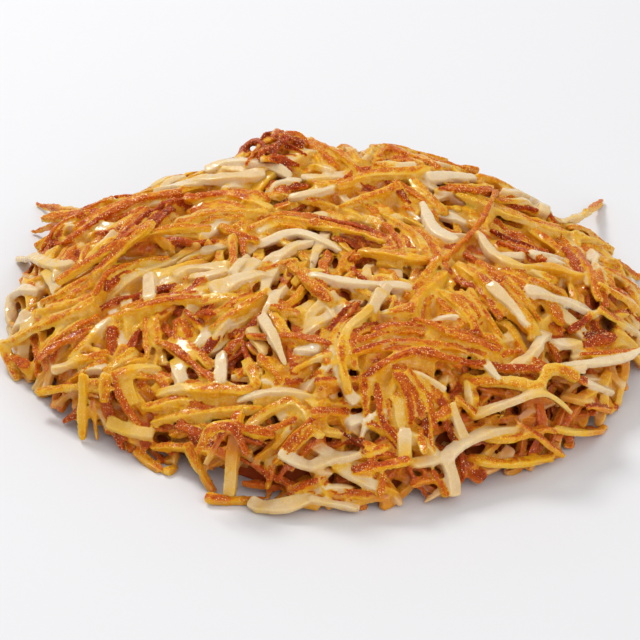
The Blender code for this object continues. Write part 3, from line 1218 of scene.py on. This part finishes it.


# %% [markdown]
# ## Fried potato
# One scale holds every colour here: how far a spot has been fried, from steamed cream through gold and
# orange-brown to a dark red-brown. Each strand carries its own degree, more where it touched the griddle
# and, as painted shade, more deep in a gap. The finish adds what is finer than the mesh: blotches a few
# millimetres wide, the grain of the crust, and painted glints, pale dots painted on some of the tiny
# blisters, most on the crust, in place of highlights on oil. The strands let light through, so one deep in
# a gap is lit only through the others, and looks redder. That shade is painted too: part of its colour is
# mixed towards a red-brown.

# %% The scale of frying
FRYING = [(degree, daylight(*colour)) for degree, *colour in (
    (0.00, 225, 203, 167),
    (0.12, 219, 188, 138),
    (0.22, 223, 179, 74),
    (0.32, 223, 167, 28),
    (0.44, 216, 143, 16),
    (0.56, 205, 111, 17),
    (0.68, 191, 88, 15),
    (0.80, 171, 65, 12),
    (0.92, 148, 50, 10),
    (1.00, 122, 40, 10),
)]
# Painted glints: a pale colour mixed into some blisters, in place of highlights.
PAINTED_GLINT, PAINTED_GLINT_SHARE = daylight(255, 230, 168), 0.7
# Painted gap shade: the red-brown that points deep in a gap are mixed towards.
PAINTED_GAP_SHADE, PAINTED_GAP_SHADE_SHARE = daylight(194, 96, 36), 0.5
LIGHT_WITHIN, LIGHT_REACH = 0.8, 2.2 * MM
GRANULE = 0.5
CRUST_FRY, GRAIN_FRY, BLOTCH_FRY = 0.25, 0.30, 0.12
OIL, ROUGHNESS = 0.04, 0.32


def fried_potato():
    """The finish of the strands, from how fried, crusted and deep in a gap each point is, with painted
    glints and painted gap shade.
    """
    finish = Finish("fried_potato")
    # The fry attribute also holds painted shade: points deep in a gap were given a browner degree.
    fry = finish.attribute("fry")
    crust = finish.attribute("crust")
    blotches = finish.noise(5.0, detail=1) + finish.noise(1.6) - 1
    edge = finish.noise(1.0) - 0.5
    crusted = (crust + 0.5 * edge + 0.6 * blotches).between(0.15, 0.74)
    from_granule, chance = (finish.pattern("ShaderNodeTexVoronoi", GRANULE, output=output)
                            for output in ("Distance", "Color"))
    chance = finish.node("ShaderNodeSeparateColor", (chance,))
    fine = finish.noise(0.35) - 0.5
    toasted = finish.noise(26.0, detail=0) - 0.5
    browned = finish.noise(2.4, detail=1) - 0.5
    crust_degree = CRUST_FRY + GRAIN_FRY * (from_granule - 0.5) + 0.3 * fine
    crust_degree = crust_degree + 0.5 * toasted + 0.45 * browned
    degree = fry + BLOTCH_FRY * blotches + crusted * crust_degree
    colour = finish.node("ShaderNodeValToRGB", {"Fac": degree}, stops=FRYING)
    # Painted glints: some blisters get a pale dot painted into their colour, more on the crust, in place of
    # highlights. The coat is glossier on the same dots.
    rarely = 0.64 - 1.5 * (finish.noise(4.0, detail=1) - 0.5)
    painted_glint_strength = 0.5 + 0.5 * crusted
    painted_glint = painted_glint_strength * (chance - rarely).between(-0.04, 0.06) * (1 - from_granule.between(0.16, 0.46))
    colour = finish.mix(painted_glint * PAINTED_GLINT_SHARE, colour, PAINTED_GLINT)
    # Painted shade: deep in a gap, the colour is mixed towards a red-brown.
    colour = finish.mix(finish.attribute("deep") * PAINTED_GAP_SHADE_SHARE, colour, PAINTED_GAP_SHADE)
    wet = finish.noise(2.2).between(0.46, 0.58)
    grain = crusted * (1 - from_granule) + 0.2 * fine + 0.3 * edge
    bump = finish.node("ShaderNodeBump", {"Strength": 1.0, "Distance": 0.28 * MM, "Height": grain})
    finish.set(finish.shader, {
        "Base Color": colour,
        "Roughness": ROUGHNESS + 0.15 * crusted + 0.2 * fine,
        "Specular IOR Level": 0.12,
        "Subsurface Weight": LIGHT_WITHIN,
        "Subsurface Radius": (0.9, 0.8, 0.35),
        "Subsurface Scale": LIGHT_REACH,
        "Coat Weight": OIL + 0.8 * wet * (1 - 0.85 * crusted) * (1 - painted_glint) + 0.9 * painted_glint,
        "Coat Roughness": 0.1,
        "IOR": 1.45,
        "Normal": bump,
    })
    return finish.material


finishes = dict.fromkeys(SIDES, fried_potato())
# The core's red-brown colour is painted shade for the bottoms of the gaps.
core_finish = Finish("core_painted_gap_shade")
core_finish.set(core_finish.shader, {
    "Base Color": core_finish.node(
        "ShaderNodeValToRGB",
        {"Fac": core_finish.noise(6.0)},
        stops=((0.3, daylight(172, 68, 28)), (0.7, daylight(200, 100, 40))),
    ),
    "Roughness": 0.6,
    "Specular IOR Level": 0.1,
    "Subsurface Weight": 0.8,
    "Subsurface Radius": (1.0, 0.6, 0.3),
    "Subsurface Scale": 3.0 * MM,
})
finishes["core"] = core_finish.material

for kind, piece in pieces.items():
    piece.data.materials.append(finishes[kind])
    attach(piece, "root")
    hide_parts(NODE)
print("finished", sorted(pieces))

# %% [markdown]
# ## Floor and light
# A plain pale floor, a large soft light behind and to the left, as in the photograph, and weak light all
# round, so that the front of the heap stays readable in its own shade.

# %% Floor, light and sky
bpy.ops.mesh.primitive_plane_add(size=6)
floor = bpy.context.object
floor.name = "floor"
floor_finish = Finish("pale_floor")
floor_finish.set(floor_finish.shader, {"Base Color": daylight(226, 226, 228), "Roughness": 0.6})
floor.data.materials.append(floor_finish.material)


def soft_light(name, place, size, power):
    data = bpy.data.lights.new(name, "AREA")
    data.size, data.energy = size, power
    pointed(new_object(name, data), place, -Vector(place))


soft_light("window", (-0.45, 0.55, 0.85), 0.3, 6.0)
soft_light("bounce", (0.5, -0.9, 0.6), 1.0, 4.9)
world = bpy.data.worlds.new("studio")
world.use_nodes = True
sky = world.node_tree.nodes["Background"].inputs
sky["Color"].default_value, sky["Strength"].default_value = (1, 1, 1, 1), 0.66
bpy.context.scene.world = world
bpy.context.scene.view_settings.view_transform = "Standard"
print("lit")
